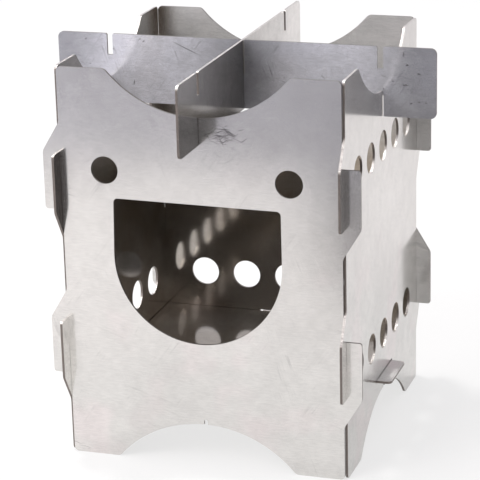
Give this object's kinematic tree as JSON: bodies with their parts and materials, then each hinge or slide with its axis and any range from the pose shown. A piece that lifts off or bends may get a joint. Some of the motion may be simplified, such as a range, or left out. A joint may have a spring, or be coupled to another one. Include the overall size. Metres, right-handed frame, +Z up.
{
  "type": "hobo stove",
  "caption": "Flat-pack wood-burning camping stove of hooked sheet-steel walls with a floor plate and two crossed lift-off pot supports.",
  "frame": {"origin": "on the ground under the middle of the stove", "axes": "+Z up, -Y towards the wall with the fuel mouth, +X to the right as seen facing that wall"},
  "size_m": [0.165, 0.165, 0.1663],
  "materials": {
    "front_panel": "satin",
    "right_panel": "satin",
    "back_panel": "satin",
    "left_panel": "satin",
    "floor_plate": "satin",
    "lower_pot_support": "satin",
    "upper_pot_support": "satin"
  },
  "bodies": {
    "stove_body": {"front_panel": "front_panel", "right_panel": "right_panel", "back_panel": "back_panel", "left_panel": "left_panel", "floor_plate": "floor_plate"},
    "lower_support": {"lower_pot_support": "lower_pot_support"},
    "upper_support": {"upper_pot_support": "upper_pot_support"}
  },
  "joints": [
    {"name": "lower_support_lift", "type": "slide", "parent": "stove_body", "child": "lower_support", "axis": [0, 0, 1], "range_m": [0, 0.03]},
    {"name": "upper_support_lift", "type": "slide", "parent": "lower_support", "child": "upper_support", "axis": [0, 0, 1], "range_m": [0, 0.032]}
  ]
}
